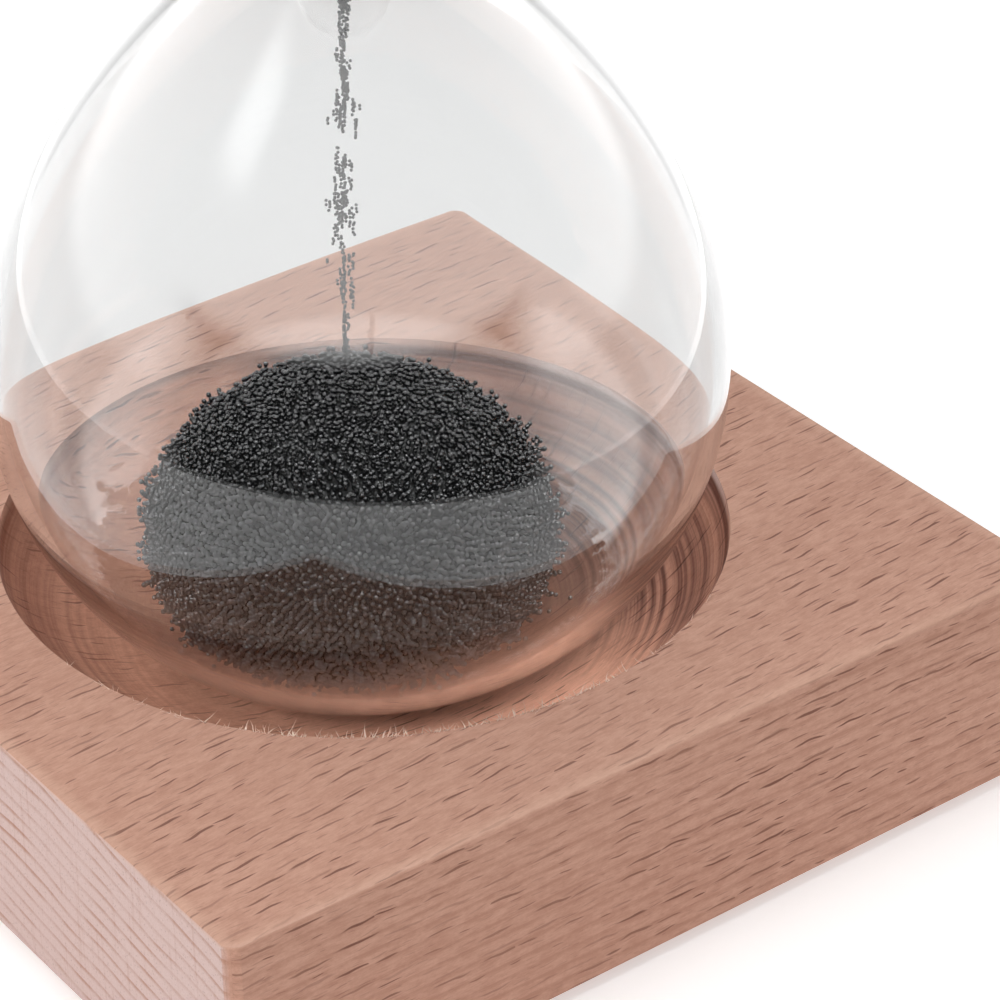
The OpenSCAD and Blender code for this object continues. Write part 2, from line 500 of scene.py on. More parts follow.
    wood = net.blend(end_face, long_wood, end_wood)
    wood = net.blend(net.math("MAXIMUM", marks, pores), wood, g["Fleck"])
    net.feed(out["Colour"], wood)
    rough = net.math("ADD", net.math("MULTIPLY", fibre, 0.14),
                     net.math("MULTIPLY", marks, 0.12))
    net.feed(out["Roughness"], net.math("ADD", rough, 0.44))
    height = net.math("ADD", net.math("MULTIPLY", fibre, 0.5), net.math("MULTIPLY", hair, 0.35))
    height = net.math("SUBTRACT", height, net.math("MULTIPLY", net.math("MAXIMUM", marks, pores), 0.9))
    net.feed(out["Height"], height)
    return tree


def bump(net, shader, height, strength, distance):
    node = net.add("ShaderNodeBump", {"Strength": strength, "Distance": distance, "Height": height})
    net.tree.links.new(node.outputs[0], shader.inputs["Normal"])


def groups():
    flecks = bpy.data.node_groups.get("ray_flecks") or fleck_group()
    return bpy.data.node_groups.get("beech") or beech_group(flecks)


# ---------------------------------------------------------------- materials

def block_beech(s):
    mat, net, shader, _ = material("block_beech")
    place, facing = millimetres(net)
    wood = place_group(net, groups(), {
        "Position": place, "Facing": facing, "Light Wood": rgba(s.light_wood),
        "Dark Wood": rgba(s.dark_wood), "Fleck": rgba(s.fleck), "End Wood": rgba(s.end_wood)})
    # the dish is painted lighter than the block's wood, more so on its near walls, as painted light where
    # it lies in shade; its end-grain walls are darker and redder, most where they face -X, with faint
    # rings from the cutter
    x, y, z = net.split(place)[:3]
    radius = net.length(net.join(x, y))
    inside = net.ramp(radius, s.dish_radius * 1000 - 0.25, s.dish_radius * 1000, 1.0, 0.0)
    below = net.ramp(z, BASE_TOP * 1000 - 0.45, BASE_TOP * 1000 - 0.1, 1.0, 0.0)
    above = net.ramp(z, WOOD_LOW.z * 1000 + 5.4, WOOD_LOW.z * 1000 + 5.8)
    dish = net.math("MULTIPLY", net.math("MULTIPLY", inside, below), above)
    lean_x, lean_y = net.split(facing)[:2]
    end_cut = net.math("MAXIMUM", net.ramp(lean_x, 0.12, 0.75), net.ramp(lean_x, -0.06, -0.42))
    faces_plus_x = net.ramp(lean_x, -0.3, 0.3)
    cut_tone = net.blend(faces_plus_x, (0.20, 0.105, 0.085, 1), (0.48, 0.30, 0.24, 1))
    cutter = net.noise(net.join(net.math("MULTIPLY", radius, 1.1), 0.0, 0.0), 1.0, 3.0, 0.7)
    rings = net.ramp(cutter, 0.38, 0.62, 0.6, 1.0)
    # painted light: away from the end grain the dish colour is multiplied up by 1.35, and by up to 1.8 on
    # walls that face +Y, where the dish lies in shade
    turned = net.blend(net.math("MULTIPLY", end_cut, rings),
                       net.blend(net.ramp(lean_y, 0.0, 0.35), (1.35, 1.22, 1.14, 1), (1.8, 1.66, 1.58, 1)),
                       cut_tone)
    shaded = net.blend(dish, wood["Colour"], net.blend(1.0, wood["Colour"], turned, "MULTIPLY"))
    # painted highlight: the top edges are painted paler, where the rounded arris catches the light
    out_x = net.ramp(net.math("ABSOLUTE", x), WOOD_HIGH.x * 1000 - 1.6, WOOD_HIGH.x * 1000 - 0.3)
    out_y = net.ramp(net.math("ABSOLUTE", y), WOOD_HIGH.y * 1000 - 1.6, WOOD_HIGH.y * 1000 - 0.3)
    near_top = net.ramp(z, BASE_TOP * 1000 - 0.4, BASE_TOP * 1000 - 0.1)
    edge = net.math("MULTIPLY", net.math("MAXIMUM", out_x, out_y), near_top)
    shaded = net.blend(net.math("MULTIPLY", edge, 0.3), shaded, (0.76, 0.48, 0.36, 1))
    net.feed(shader.inputs["Base Color"], shaded)
    net.feed(shader.inputs["Roughness"], wood["Roughness"])
    cut = net.math("MULTIPLY", net.math("MULTIPLY", dish, cutter), 0.6)
    bump(net, shader, net.math("ADD", wood["Height"], cut), 0.55, 0.06 * MM)
    shader.inputs["Specular IOR Level"].default_value = 0.16
    return mat


def torn_fibre(s):
    mat, net, shader, _ = material("torn_fibre")
    place, _ = millimetres(net)
    tone = net.noise(place, 2.0, 2.0, 0.6)
    net.feed(shader.inputs["Base Color"],
             net.blend(net.ramp(tone, 0.3, 0.7), (0.90, 0.74, 0.62, 1), rgba(s.light_wood)))
    net.feed(shader.inputs["Roughness"], net.ramp(tone, 0.3, 0.7, 0.6, 0.8))
    return mat


def plug_beech(s):
    mat, net, shader, _ = material("plug_beech")
    place, facing = millimetres(net)
    wood = place_group(net, groups(), {
        "Position": net.vec("ADD", place, (23.0, 9.0, 4.0)), "Facing": facing,
        "Light Wood": (0.56, 0.35, 0.25, 1), "Dark Wood": rgba(s.dark_wood),
        "Fleck": rgba(s.fleck), "End Wood": rgba(s.end_wood)})
    net.feed(shader.inputs["Base Color"], wood["Colour"])
    net.feed(shader.inputs["Roughness"], wood["Roughness"])
    bump(net, shader, wood["Height"], 0.5, 0.06 * MM)
    return mat


def pressed_felt():
    mat, net, shader, _ = material("pressed_felt")
    place, _ = millimetres(net)
    fluff = net.noise(place, 2.4, 5.0, 0.7)
    clump = net.noise(place, 0.35, 3.0, 0.6)
    shade = net.math("ADD", net.math("MULTIPLY", fluff, 0.7), net.math("MULTIPLY", clump, 0.3))
    colour = net.blend(net.ramp(shade, 0.3, 0.7), (0.008, 0.008, 0.009, 1), (0.035, 0.035, 0.038, 1))
    net.feed(shader.inputs["Base Color"], colour)
    net.feed(shader.inputs["Roughness"], net.ramp(fluff, 0.2, 0.8, 0.85, 1.0))
    shader.inputs["Sheen Weight"].default_value = 0.35
    shader.inputs["Sheen Roughness"].default_value = 0.5
    bump(net, shader, fluff, 0.8, 0.12 * MM)
    return mat


def nickel():
    mat, net, shader, _ = material("nickel_plating")
    place, _ = millimetres(net)
    scuff = net.noise(net.vec("MULTIPLY", place, (0.5, 6.0, 6.0)), 1.0, 4.0, 0.6)
    stain = net.noise(place, 0.18, 3.0, 0.5)
    net.feed(shader.inputs["Base Color"],
             net.blend(net.ramp(stain, 0.4, 0.7), (0.62, 0.60, 0.57, 1), (0.50, 0.48, 0.44, 1)))
    shader.inputs["Metallic"].default_value = 1.0
    net.feed(shader.inputs["Roughness"], net.ramp(scuff, 0.3, 0.7, 0.12, 0.3))
    bump(net, shader, scuff, 0.2, 0.01 * MM)
    return mat


def clear_glass(s):
    mat, net, shader, out = material("clear_glass")
    shader.inputs["Base Color"].default_value = rgba(s.tint)
    shader.inputs["Transmission Weight"].default_value = 1.0
    shader.inputs["Roughness"].default_value = 0.0
    shader.inputs["IOR"].default_value = 1.47
    place, _ = millimetres(net)
    ripple = net.noise(net.vec("MULTIPLY", place, (0.045, 0.045, 0.02)), 1.0, 1.0, 0.4)
    bump(net, shader, ripple, 0.35, 0.35 * MM)
    # light and shadow pass through, so what stands inside the bulb is lit
    path = net.add("ShaderNodeLightPath")
    clear = net.add("ShaderNodeBsdfTransparent", {0: (0.985, 0.99, 0.99, 1)})
    passes = net.math("MAXIMUM", path.outputs["Is Shadow Ray"], path.outputs["Is Diffuse Ray"])
    mixed = net.add("ShaderNodeMixShader", {0: passes})
    net.tree.links.new(shader.outputs[0], mixed.inputs[1])
    net.tree.links.new(clear.outputs[0], mixed.inputs[2])
    net.tree.links.new(mixed.outputs[0], out.inputs[0])
    return mat


def iron_bead(s):
    have = bpy.data.materials.get("iron_bead")
    if have:
        return have
    mat, net, shader, _ = material("iron_bead")
    place, _ = millimetres(net)
    each = net.noise(place, 1.7, 1.0, 0.5)
    scale = net.noise(place, 9.0, 2.0, 0.6)
    pale = tuple(1.3 * c for c in s.colour)
    net.feed(shader.inputs["Base Color"],
             net.blend(net.ramp(each, 0.35, 0.7), rgba(s.colour), rgba(pale)))
    net.feed(shader.inputs["Roughness"], net.ramp(scale, 0.3, 0.7, 0.15, 0.20))
    shader.inputs["IOR"].default_value = 1.65
    return mat


def heap_core_iron():
    mat, net, shader, _ = material("heap_core_iron")
    place, _ = millimetres(net)
    grains = net.add("ShaderNodeTexVoronoi", {"Vector": place, "Scale": 2.0})
    net.feed(shader.inputs["Base Color"],
             net.blend(grains.outputs["Distance"], (0.012, 0.012, 0.013, 1), (0.003, 0.003, 0.003, 1)))
    net.feed(shader.inputs["Roughness"], net.ramp(grains.outputs["Distance"], 0.0, 0.8, 0.45, 0.8))
    bump(net, shader, grains.outputs["Distance"], 0.8, 0.2 * MM)
    return mat


# ---------------------------------------------------------------- beads

def bead_shape():
    """One bead: a cube cut in four on each side and blown up to a ball of radius 1."""
    deselect()
    bpy.ops.mesh.primitive_cube_add(size=1, location=(0, 0, 0))
    obj = added("bead")
    bpy.ops.object.mode_set(mode="EDIT")
    bpy.ops.mesh.select_all(action="SELECT")
    bpy.ops.mesh.subdivide(number_cuts=1)
    leave_edit()
    points = np.array([v.co[:] for v in obj.data.vertices])
    points /= np.linalg.norm(points, axis=1)[:, None]
    faces = np.array([f.vertices[:] for f in obj.data.polygons])
    bpy.data.objects.remove(obj)
    return points, faces


def bead_pieces(name, centres, diameters, body, node, s, rng):
    """Copies the bead to each centre, in as many pieces as the triangle limit asks for."""
    points, faces = bead_shape()
    centres = np.asarray(centres)
    diameters = np.broadcast_to(diameters, len(centres))
    most = PIECE_TRIANGLES // (2 * len(faces))
    count = math.ceil(len(centres) / most)
    mat = iron_bead(s)
    for k in range(count):
        part = slice(k * len(centres) // count, (k + 1) * len(centres) // count)
        c, d = centres[part], diameters[part]
        turn = rng.uniform(0, 2 * math.pi, len(c))
        cos, sin = np.cos(turn)[:, None], np.sin(turn)[:, None]
        px, py, pz = points.T
        local = np.stack([cos * px - sin * py, sin * px + cos * py, np.tile(pz, (len(c), 1))], -1)
        verts = (c[:, None, :] + local * (d / 2)[:, None, None]).reshape(-1, 3)
        polys = (faces[None] + (np.arange(len(c)) * len(points))[:, None, None]).reshape(-1, 4)
        mesh = bpy.data.meshes.new(name)
        mesh.vertices.add(len(verts))
        mesh.vertices.foreach_set("co", verts.ravel())
        mesh.loops.add(polys.size)
        mesh.loops.foreach_set("vertex_index", polys.ravel())
        mesh.polygons.add(len(polys))
        mesh.polygons.foreach_set("loop_start", np.arange(len(polys)) * 4)
        mesh.update(calc_edges=True)
        mesh.polygons.foreach_set("use_smooth", np.ones(len(polys), dtype=bool))
        label = name if count == 1 else f"{name}_{k + 1}"
        obj = bpy.data.objects.new(label, mesh)
        bpy.context.collection.objects.link(obj)
        give(obj, mat)
        hand_over(obj, body, "iron", node)


def along(line, count):
    """Spreads points evenly over the surface that a line makes when it is turned round Z.

    Gives each point's place and the surface's outward direction there."""
    line = np.asarray(line)
    step = np.diff(line, axis=0)
    area = np.linalg.norm(step, axis=1) * (line[1:, 0] + line[:-1, 0])
    total = np.concatenate([[0], np.cumsum(area)])
    want = (np.arange(count) + 0.5) / count * total[-1]
    r = np.interp(want, total, line[:, 0])
    z = np.interp(want, total, line[:, 1])
    k = np.clip(np.searchsorted(total, want) - 1, 0, len(step) - 1)
    out = np.stack([step[k, 1], -step[k, 0]], -1)
    out /= np.linalg.norm(out, axis=1)[:, None]
    turn = np.arange(count) * GOLDEN_ANGLE
    cos, sin = np.cos(turn), np.sin(turn)
    places = np.stack([r * cos, r * sin, z], -1)
    normals = np.stack([out[:, 0] * cos, out[:, 0] * sin, out[:, 1]], -1)
    return places, normals


def surface_count(line, spacing):
    line = np.asarray(line)
    step = np.linalg.norm(np.diff(line, axis=0), axis=1)
    area = float(np.sum(step * (line[1:, 0] + line[:-1, 0]))) * math.pi
    return int(area / (0.866 * spacing ** 2))


HEAP_R = 17.0 * MM
HEAP_H = 13.2 * MM
HEAP_OFF = 1.2 * MM
HEAP_TURN = math.radians(146)
HEAP_SIDE = np.array([math.cos(HEAP_TURN), math.sin(HEAP_TURN), 0.0]) * HEAP_OFF
HEAP_WIDE_Z = BASE_TOP - 0.4 * MM
HEAP_FOOT_R = 16.2 * MM


def heap_foot_z(r, wall):
    return inner_floor(r + HEAP_OFF, wall) + 0.3 * MM


def heap_side(wall, shrink=0.0):
    """Outline of the heap from its foot to its top."""
    foot_z = heap_foot_z(HEAP_FOOT_R, wall) + 0.2 * MM
    line = []
    for i in range(13):
        a = math.pi / 2 * i / 12
        line.append((HEAP_FOOT_R + (HEAP_R - HEAP_FOOT_R) * math.sin(a) - shrink,
                     HEAP_WIDE_Z - (HEAP_WIDE_Z - foot_z) * math.cos(a)))
    for i in range(1, 25):
        a = math.pi / 2 * i / 24
        line.append(((HEAP_R - shrink) * math.cos(a), HEAP_WIDE_Z + (HEAP_H - shrink) * math.sin(a)))
    return line


class HOURGLASS_OT_heap(bpy.types.Operator):
    """Builds the spiky heap of beads that stands over the magnet"""
    bl_idname = "hourglass.heap"
    bl_label = "Iron heap"

    def execute(self, context):
        s = context.scene.hourglass_beads
        wall = context.scene.hourglass_glass.wall
        rng = np.random.default_rng(s.seed)
        d = s.diameter
        core_line = [(0.0, heap_foot_z(0.0, wall))]
        core_line += [(r, heap_foot_z(r, wall) + 0.1 * MM) for r in np.linspace(1, 15, 8) * MM]
        core_line += heap_side(wall, 0.35 * MM)[1:-1] + [(0.0, HEAP_WIDE_Z + HEAP_H - 0.35 * MM)]
        core = lathe("heap_core", core_line, 72)
        core.location = HEAP_SIDE
        settle(core)
        bpy.ops.object.shade_smooth()
        give(core, heap_core_iron())
        hand_over(core, "hourglass", "iron", "iron_heap")

        side = heap_side(wall)
        places, normals = along(side, surface_count(side, s.spacing))
        count = len(places)
        places = places + rng.normal(0, 0.12, (count, 3)) * s.spacing
        # chains follow the magnet's field: outward low down, upward near the top
        field = places - np.array([0, 0, HEAP_WIDE_Z - 7.0 * MM])
        field /= np.linalg.norm(field, axis=1)[:, None]
        way = 0.55 * field + 0.45 * normals + rng.normal(0, 0.10, (count, 3))
        way /= np.linalg.norm(way, axis=1)[:, None]
        height = (places[:, 2] - HEAP_WIDE_Z) / HEAP_H
        beads = rng.choice([1, 2, 3], count, p=[0.25, 0.5, 0.25])
        low = height < 0.35
        tuft = rng.random(count) < np.where(low, 0.22, 0.13)
        beads = beads + np.where(tuft, np.where(low, rng.integers(1, 4, count), 1), 0)
        centres = []
        here = places.copy()
        for k in range(int(beads.max())):
            live = beads > k
            centres.append(here[live] + rng.normal(0, 0.05, (int(live.sum()), 3)) * d)
            way = way + rng.normal(0, 0.12, way.shape)
            way /= np.linalg.norm(way, axis=1)[:, None]
            here = here + way * d * 0.93
        centres = np.concatenate(centres)
        # the foot: one layer that lies on the glass
        foot = [(r, heap_foot_z(r, wall)) for r in np.linspace(0.05, 16.3, 24) * MM]
        under, _ = along(foot, surface_count(foot, 0.62 * MM))
        centres = np.concatenate([centres, under]) + HEAP_SIDE
        centres = centres[self.inside(centres, wall, d)]
        sizes = d * rng.uniform(0.9, 1.08, len(centres))
        bead_pieces("heap_beads", centres, sizes, "hourglass", "iron_heap", s, rng)
        return {"FINISHED"}

    @staticmethod
    def inside(centres, wall, d):
        """True for beads that stay clear of the glass."""
        r = np.linalg.norm(centres[:, :2], axis=1)
        return centres[:, 2] > inner_floor(np.minimum(r, BULB_R - 2 * wall), wall) + 0.5 * d


class HOURGLASS_OT_stream(bpy.types.Operator):
    """Builds the thin broken stream of falling beads"""
    bl_idname = "hourglass.stream"
    bl_label = "Falling beads"

    def execute(self, context):
        s = context.scene.hourglass_beads
        rng = np.random.default_rng(s.seed + 1)
        low, high = HEAP_WIDE_Z + HEAP_H + 0.6 * MM, NECK_Z - 2.6 * MM
        grain = 0.60 * s.diameter
        centres = []
        for _ in range(STREAM_CLUMPS):
            f = rng.random() ** 0.9
            z = low + (high - low) * f
            spread = (0.12 + 0.75 * math.sin(math.pi * min(1.0, f * 1.1)) ** 1.2) * MM
            x, y = rng.normal(0, spread * 0.6, 2)
            for k in range(rng.integers(2, 8)):
                centres.append((x + rng.normal(0, 0.05) * MM, y + rng.normal(0, 0.04) * MM,
                                z + k * grain * rng.uniform(0.7, 1.2)))
        # one close thread of beads low down
        for i in range(THREAD_BEADS):
            z = low + i * grain * 0.98
            centres.append((rng.normal(0, 0.07) * MM, rng.normal(0, 0.07) * MM, z))
        centres = np.array(centres)
        centres = centres[centres[:, 2] < high]
        # the stream leans a little to one side as it falls
        fall = 1 - (centres[:, 2] - low) / (high - low)
        centres += fall[:, None] * HEAP_SIDE
        bead_pieces("falling_beads", centres, grain, "hourglass", "falling_grains", s, rng)
        return {"FINISHED"}


class HOURGLASS_OT_waiting(bpy.types.Operator):
    """Builds the beads that wait in the upper bulb, above the neck"""
    bl_idname = "hourglass.waiting"
    bl_label = "Waiting beads"

    def execute(self, context):
        s = context.scene.hourglass_beads
        g = context.scene.hourglass_glass
        rng = np.random.default_rng(s.seed + 2)
        d = s.diameter

        def wall_line(share, gap):
            r, z = wall_point(share, g.neck)
            r2, z2 = wall_point(share - 0.01, g.neck)
            n = Vector((z - z2, r2 - r)).normalized()
            return r - n.x * gap, 2 * NECK_Z - (z - n.y * gap)

        low, high = 0.935, 0.745
        skin = [wall_line(low + (high - low) * i / 24, g.wall + 0.62 * d) for i in range(25)]
        rim_r, rim_z = skin[-1]
        top = [(rim_r * (1 - f), rim_z - 2.8 * MM * math.sin(f * math.pi / 2) ** 1.5)
               for f in np.linspace(0.03, 0.99, 16)]
        core = [(0.0, skin[0][1] + 0.2 * MM)]
        core += [(r - 0.25 * MM, z + 0.05 * MM) for r, z in skin[2:-1]]
        core += [(r * 0.97, z - 0.25 * MM) for r, z in top[1:-1]] + [(0.0, top[-1][1] - 0.25 * MM)]
        body = lathe("waiting_core", core, 48)
        only(body)
        bpy.ops.object.shade_smooth()
        give(body, heap_core_iron())
        hand_over(body, "hourglass", "iron", "waiting_grains")
        places = []
        for line in (skin, top):
            found, _ = along(line, surface_count(line, 0.50 * MM))
            places.append(found)
        places = np.concatenate(places)
        places = places + rng.normal(0, 0.05, places.shape) * d
        loose, _ = along(top, 260)
        loose = loose[rng.random(len(loose)) < 0.6] + np.array([0, 0, 0.7 * d])
        places = np.concatenate([places, loose])
        bead_pieces("waiting_beads", places, d, "hourglass", "waiting_grains", s, rng)
        return {"FINISHED"}


class HOURGLASS_OT_neck(bpy.types.Operator):
    """Builds the few beads that are passing the neck"""
    bl_idname = "hourglass.neck"
    bl_label = "Beads in the neck"

    def execute(self, context):
        s = context.scene.hourglass_beads
        rng = np.random.default_rng(s.seed + 3)
        d = s.diameter
        centres = [(0.0, 0.0, NECK_Z)]
        for k in range(5):
            a = k * 2 * math.pi / 5
            lift = 0.22 * MM * (-1) ** k
            centres.append((0.52 * MM * math.cos(a), 0.52 * MM * math.sin(a), NECK_Z + lift))
        centres += [(0.1 * MM, 0, NECK_Z + 0.5 * MM), (-0.1 * MM, 0, NECK_Z - 0.5 * MM)]
        bead_pieces("neck_beads", centres, d, "passing_grains", "neck_grains", s, rng)
        return {"FINISHED"}


class HOURGLASS_OT_stray(bpy.types.Operator):
    """Builds the loose beads that lie on the glass round the heap"""
    bl_idname = "hourglass.stray"
    bl_label = "Stray beads"

    def execute(self, context):
        s = context.scene.hourglass_beads
        wall = context.scene.hourglass_glass.wall
        rng = np.random.default_rng(s.seed + 4)
        centres = []
        for _ in range(STRAY_COUNT):
            r = rng.uniform(15.6, 22.5) * MM
            a = rng.uniform(0, 2 * math.pi)
            z = inner_floor(r, wall) + 0.55 * s.diameter
            lean = 0.25 * s.diameter * r / BULB_R
            centres.append(((r - lean) * math.cos(a), (r - lean) * math.sin(a), z))
        bead_pieces("stray_beads", centres, s.diameter, "hourglass", "stray_grains", s, rng)
        return {"FINISHED"}


# ---------------------------------------------------------------- block, felt, magnet, glass

class HOURGLASS_OT_block(bpy.types.Operator):
    """Builds the beech block with its turned dish and magnet pocket"""
    bl_idname = "hourglass.block"
    bl_label = "Beech block"

    def execute(self, context):
        s = context.scene.hourglass_block
        obj = block("beech_block", WOOD_LOW, WOOD_HIGH)
        edit(obj)
        pick_edges(obj, lambda a, b: abs(a.z - b.z) > MM)
        bpy.ops.mesh.bevel(offset=s.corner, offset_type="WIDTH", segments=3, profile=0.35)
        pick_edges(obj, lambda a, b: min(a.z, b.z) > WOOD_HIGH.z - MM)
        bpy.ops.mesh.bevel(offset=s.arris, segments=4, profile=0.6)
        pick_edges(obj, lambda a, b: max(a.z, b.z) < WOOD_LOW.z + 0.01 * MM)
        bpy.ops.mesh.bevel(offset=s.arris, segments=3, profile=0.6)
        leave_edit()

        radii = [s.dish_radius * math.sin(math.pi / 2 * i / 40) for i in range(41)]
        line = [(r, dish_z(r, s)) for r in radii]
        line += [(s.dish_radius + 0.10 * MM, BASE_TOP + 0.04 * MM),
                 (s.dish_radius + 0.10 * MM, BASE_TOP + 2 * MM), (0.0, BASE_TOP + 2 * MM)]
        carve(obj, lathe("dish_cutter", line, 160))
        pocket_r = (PLUG_HIGH.x - PLUG_LOW.x) / 2 + 0.05 * MM
        pocket_top = MAGNET_HIGH.z + 0.1 * MM
        pocket = [(0.0, WOOD_LOW.z - MM), (pocket_r, WOOD_LOW.z - MM), (pocket_r, pocket_top),
                  (0.0, pocket_top)]
        carve(obj, lathe("pocket_cutter", pocket, 96))
        only(obj)
        bpy.ops.object.shade_smooth_by_angle(angle=math.radians(30))
        give(obj, block_beech(s))
        hand_over(obj, "base", "beech", "wood_base")
        return {"FINISHED"}


class HOURGLASS_OT_rim(bpy.types.Operator):
    """Builds the torn fibres that stand up along the near side of the dish's rim"""
    bl_idname = "hourglass.rim"
    bl_label = "Torn rim fibres"

    def execute(self, context):
        s = context.scene.hourglass_block
        rng = np.random.default_rng(31)
        # one fibre: a thin cone, drawn out to a point and bent
        deselect()
        bpy.ops.mesh.primitive_cone_add(vertices=4, radius1=1, radius2=0.45, depth=1,
                                        end_fill_type="NGON", location=(0, 0, 0.5))
        sliver = added("fibre")
        settle(sliver)
        edit(sliver, "FACE")
        bpy.ops.object.mode_set(mode="OBJECT")
        for f in sliver.data.polygons:
            f.select = f.normal.z > 0.9
        bpy.ops.object.mode_set(mode="EDIT")
        bpy.ops.mesh.extrude_region_move(TRANSFORM_OT_translate={"value": (0.9, 0, 0.8)})
        bpy.ops.mesh.merge(type="CENTER")
        leave_edit()
        shape = np.array([v.co[:] for v in sliver.data.vertices])
        faces = [tuple(f.vertices) for f in sliver.data.polygons]
        bpy.data.objects.remove(sliver)
        verts, polys = [], []
        for _ in range(FIBRE_COUNT):
            a = math.radians(rng.normal(*FIBRE_ARC))
            long = rng.uniform(0.15, 0.75) * MM
            thick = rng.uniform(0.030, 0.065) * MM
            turn = rng.uniform(0, 2 * math.pi)
            local = shape * (thick, thick, long)
            local[:, 0] += (shape[:, 2] / 1.8) ** 2 * long * 0.35
            cos, sin = math.cos(turn), math.sin(turn)
            lean = rng.normal(0, 0.5)
            x = local[:, 0] * cos - local[:, 1] * sin + local[:, 2] * lean
            y = local[:, 0] * sin + local[:, 1] * cos - local[:, 2] * rng.uniform(-0.9, 0.5)
            r = s.dish_radius + rng.uniform(0.02, 0.16) * MM
            z = local[:, 2] * rng.uniform(0.3, 0.8) + BASE_TOP - 0.05 * MM
            base = len(verts)
            verts += [(r * math.cos(a) + p, r * math.sin(a) + q, h) for p, q, h in zip(x, y, z)]
            polys += [tuple(base + i for i in f) for f in faces]
        mesh = bpy.data.meshes.new("rim_fibres")
        mesh.from_pydata(verts, [], polys)
        obj = bpy.data.objects.new("rim_fibres", mesh)
        context.collection.objects.link(obj)
        give(obj, torn_fibre(s))
        hand_over(obj, "base", "beech")
        return {"FINISHED"}


class HOURGLASS_OT_felt(bpy.types.Operator):
    """Builds the felt sheet under the block"""
    bl_idname = "hourglass.felt"
    bl_label = "Felt sheet"

    def execute(self, context):
        obj = block("felt_pad", FELT_LOW, FELT_HIGH)
        edit(obj)
        pick_edges(obj, lambda a, b: abs(a.z - b.z) > 0.5 * MM)
        bpy.ops.mesh.bevel(offset=4 * MM, segments=8)
        pick_edges(obj, lambda a, b: abs(a.z - b.z) < 0.01 * MM)
        bpy.ops.mesh.bevel(offset=0.18 * MM, segments=2)
        leave_edit()
        only(obj)
        bpy.ops.object.shade_smooth_by_angle(angle=math.radians(30))
        give(obj, pressed_felt())
        hand_over(obj, "base", "felt", "felt_sheet")
        return {"FINISHED"}


class HOURGLASS_OT_magnet(bpy.types.Operator):
    """Builds the disc magnet and the wooden plug that closes its pocket"""
    bl_idname = "hourglass.magnet"
    bl_label = "Magnet and plug"

    def execute(self, context):
        s = context.scene.hourglass_block
        for name, low, high, edge, mat, slot, node in (
                ("disc_magnet", MAGNET_LOW, MAGNET_HIGH, 0.4 * MM, nickel(), "magnet_plating", "magnet"),
                ("pocket_cover", PLUG_LOW, PLUG_HIGH, 0.25 * MM, plug_beech(s), "plug_wood",
                 "pocket_plug")):
            deselect()
            bpy.ops.mesh.primitive_cylinder_add(
                vertices=96, radius=(high.x - low.x) / 2, depth=high.z - low.z,
                location=(low + high) / 2)
            obj = added(name)
            settle(obj)
            edit(obj)
            pick_edges(obj, lambda a, b: abs(a.z - b.z) < 0.01 * MM)
            bpy.ops.mesh.bevel(offset=edge, segments=3)
            leave_edit()
            only(obj)
            bpy.ops.object.shade_smooth_by_angle(angle=math.radians(35))
            give(obj, mat)
            hand_over(obj, "base", slot, node)
        return {"FINISHED"}


class HOURGLASS_OT_glass(bpy.types.Operator):
    """Builds the blown glass: an outline spun round the upright axis, then given its wall"""
    bl_idname = "hourglass.glass"
    bl_label = "Glass"

    def execute(self, context):
        s = context.scene.hourglass_glass
        obj = lathe("blown_glass", glass_outline(s.neck, 26, 40), 160)
        wall = obj.modifiers.new("wall", "SOLIDIFY")
        wall.thickness = s.wall
        wall.offset = -1
        wall.use_even_offset = True
        apply_modifiers(obj)
        only(obj)
        bpy.ops.object.shade_smooth()
        give(obj, clear_glass(s))
        hand_over(obj, "hourglass", "clear_glass", "glass_vessel")
        return {"FINISHED"}


# ---------------------------------------------------------------- stage

def softbox(name, place, width, height, power, lights):
    """An area light with soft edges. It lights dull surfaces, or it only shows as gloss."""
    lamp = bpy.data.lights.new(name, "AREA")
    lamp.shape = "RECTANGLE"
    lamp.size, lamp.size_y = width, height
    lamp.energy = power
    lamp.use_nodes = True
    net = Net(lamp.node_tree)
    spot = net.split(net.add("ShaderNodeNewGeometry").outputs["Parametric"])
    fades = [net.ramp(net.math("MINIMUM", spot[k], net.math("SUBTRACT", 1.0, spot[k])), 0.0, 0.4)
             for k in range(2)]
    level = net.math("MULTIPLY", fades[0], fades[1])
    glow = net.add("ShaderNodeEmission", {"Strength": level})
    out = net.add("ShaderNodeOutputLight")
    net.tree.links.new(glow.outputs[0], out.inputs[0])
    obj = bpy.data.objects.new(name, lamp)
    bpy.context.collection.objects.link(obj)
    obj.visible_glossy = lights == "gloss"
    obj.visible_diffuse = lights == "diffuse"
    obj.visible_transmission = lights == "gloss"
    obj.location = place
    obj.rotation_euler = (Vector(LIGHT_AIM) - Vector(place)).to_track_quat("-Z", "Y").to_euler()
    return obj


# directions of the pale backdrop on the far side and of the dark opening on the camera's side
BACKDROP_WAY = (0.56, 0.83, 0.0)
OPENING_WAY = (-0.59, -0.81, 0.0)
# how bright the world is: to the camera, through the glass, to dull surfaces, in smooth mirrors
# and in the beads
WHITE_LEVEL = (1.05, 1.05, 1.05, 1.0)
THROUGH_LEVEL = 1.0
DIFFUSE_LEVEL = (0.46, 0.455, 0.45, 1.0)
TENT_LEVEL = 3.6
ROOF_LEVEL = 2.2
# how much the table glows: to the camera, on dull surfaces and in smooth mirrors
TABLE_SEEN_GLOW = 0.40
TABLE_BOUNCE = 0.30
TABLE_MIRROR_GLOW = 0.85

LIGHT_AIM = (0, 0, 0.04)
